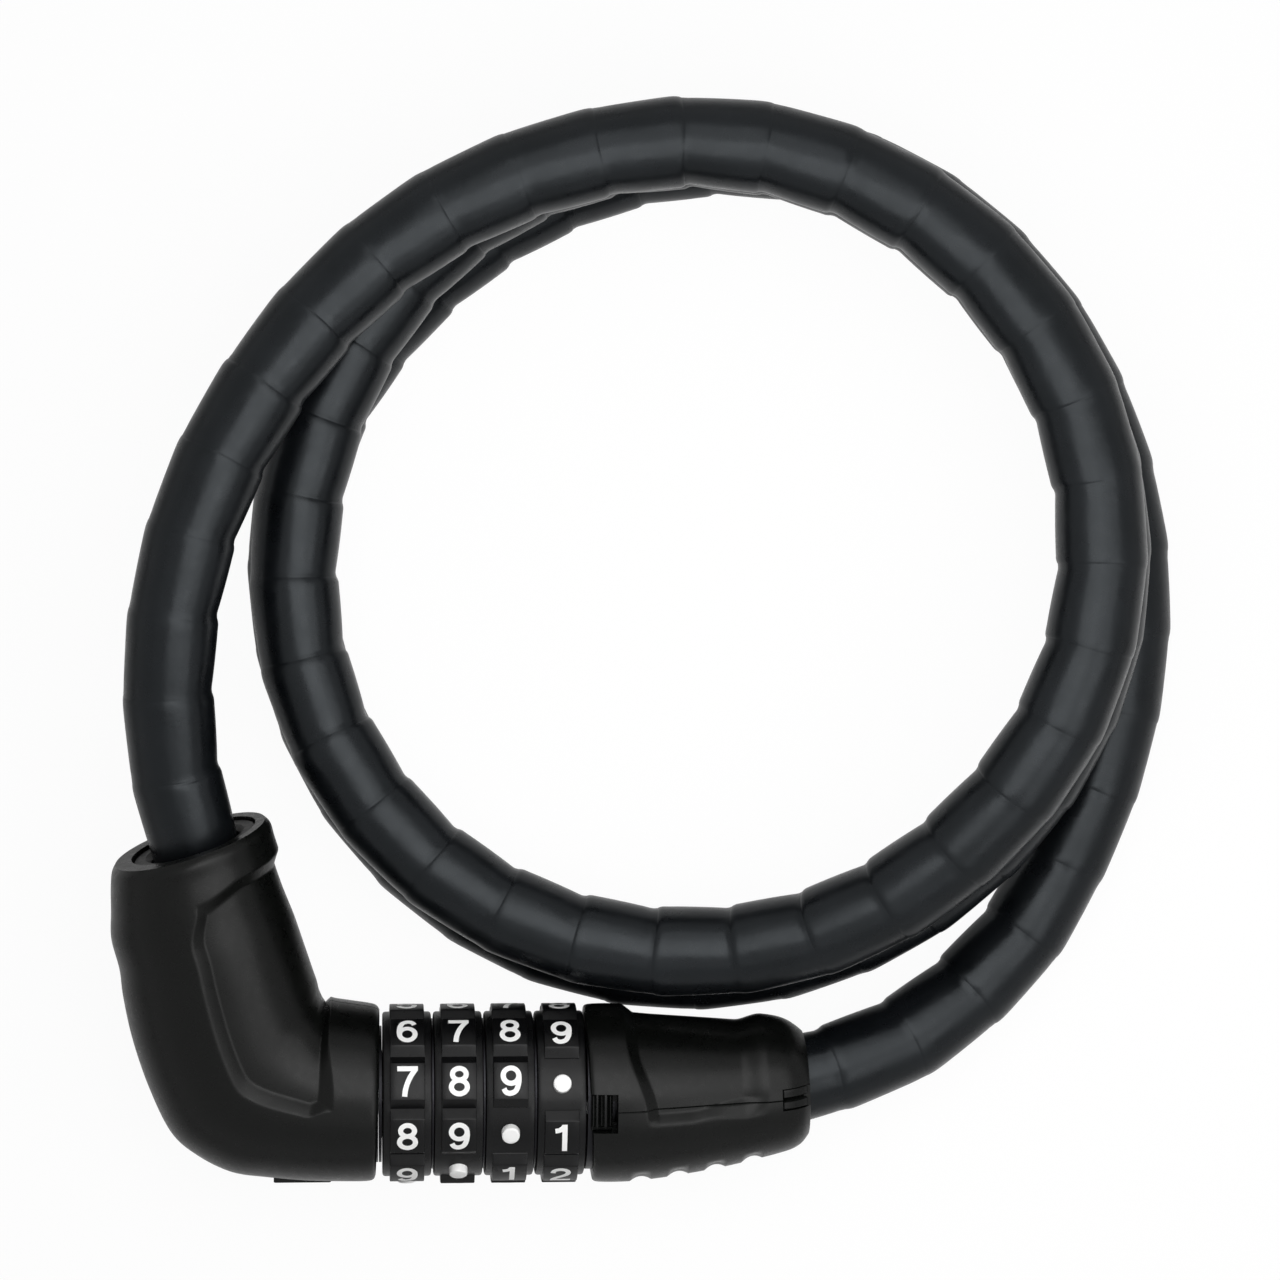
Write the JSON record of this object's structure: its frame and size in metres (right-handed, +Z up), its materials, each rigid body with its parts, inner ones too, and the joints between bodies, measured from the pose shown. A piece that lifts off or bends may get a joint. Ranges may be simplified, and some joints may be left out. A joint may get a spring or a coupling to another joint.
{
  "type": "cable lock",
  "caption": "Armoured cable lock with number dials, shown locked and lying flat: a handle with a code slider, an elbow plug, and a thick cable in a coil.",
  "frame": {"origin": "on the ground, below the middle of the lock's length and width, without the cable", "axes": "+X in plan along the dials' axis, from the elbow to the handle, +Y across it towards the coil, +Z up; the axis itself slopes 4 degrees down towards the handle, and the lock is rolled 11 degrees about it"},
  "size_m": [0.1818, 0.1855, 0.0462],
  "materials": {
    "shell_plastic": "fine satin black",
    "dial_plastic": "satin black with white numbers",
    "bush_rubber": "matt black",
    "cable_skin": "satin black skin over sleeves",
    "steel": "bright turned steel",
    "brass_ring": "turned brass"
  },
  "bodies": {
    "lock_body": {"handle_shell_upper": "shell_plastic", "handle_shell_lower": "shell_plastic", "seam_clip": "shell_plastic", "barrel": "steel", "front_retainer": "steel", "dial_washers": "steel", "detent_balls": "steel", "detent_springs": "steel", "lock_block": "steel", "handle_ferrule": "steel", "handle_ferrule_pin": "steel", "coil_jacket": "cable_skin", "coil_sleeves": "steel", "coil_rope": "steel"},
    "dial_1_body": {"dial_1": "dial_plastic", "code_ring_1": "brass_ring"},
    "dial_2_body": {"dial_2": "dial_plastic", "code_ring_2": "brass_ring"},
    "dial_3_body": {"dial_3": "dial_plastic", "code_ring_3": "brass_ring"},
    "dial_4_body": {"dial_4": "dial_plastic", "code_ring_4": "brass_ring"},
    "slider_body": {"code_slider": "shell_plastic", "shift_sleeve": "brass_ring"},
    "plug_body": {"elbow_shell_top": "shell_plastic", "elbow_shell_bottom": "shell_plastic", "outlet_bush": "bush_rubber", "plug_collar": "steel", "plug_pin": "steel", "plug_block": "steel", "elbow_ferrule": "steel", "elbow_ferrule_pin": "steel", "lead_jacket": "cable_skin", "lead_sleeves": "steel", "lead_rope": "steel"}
  },
  "joints": [
    {"name": "dial_1_turn", "type": "hinge", "parent": "lock_body", "child": "dial_1_body", "pos_m": [-0.00926, -0.0162, 0.0181], "axis": [0.9976, 0, -0.0698], "continuous": true},
    {"name": "dial_2_turn", "type": "hinge", "parent": "lock_body", "child": "dial_2_body", "pos_m": [-0.00058, -0.0162, 0.0175], "axis": [0.9976, 0, -0.0698], "continuous": true},
    {"name": "dial_3_turn", "type": "hinge", "parent": "lock_body", "child": "dial_3_body", "pos_m": [0.0081, -0.0162, 0.01689], "axis": [0.9976, 0, -0.0698], "continuous": true},
    {"name": "dial_4_turn", "type": "hinge", "parent": "lock_body", "child": "dial_4_body", "pos_m": [0.01678, -0.0162, 0.01629], "axis": [0.9976, 0, -0.0698], "continuous": true},
    {"name": "code_slide", "type": "slide", "parent": "lock_body", "child": "slider_body", "axis": [0.9976, 0, -0.0698], "range_m": [0, 0.0008]},
    {"name": "plug_slide", "type": "slide", "parent": "lock_body", "child": "plug_body", "axis": [-0.9976, 0, 0.0698], "range_m": [0, 0.04], "deforming": ["lead_jacket", "lead_sleeves", "lead_rope"]}
  ]
}
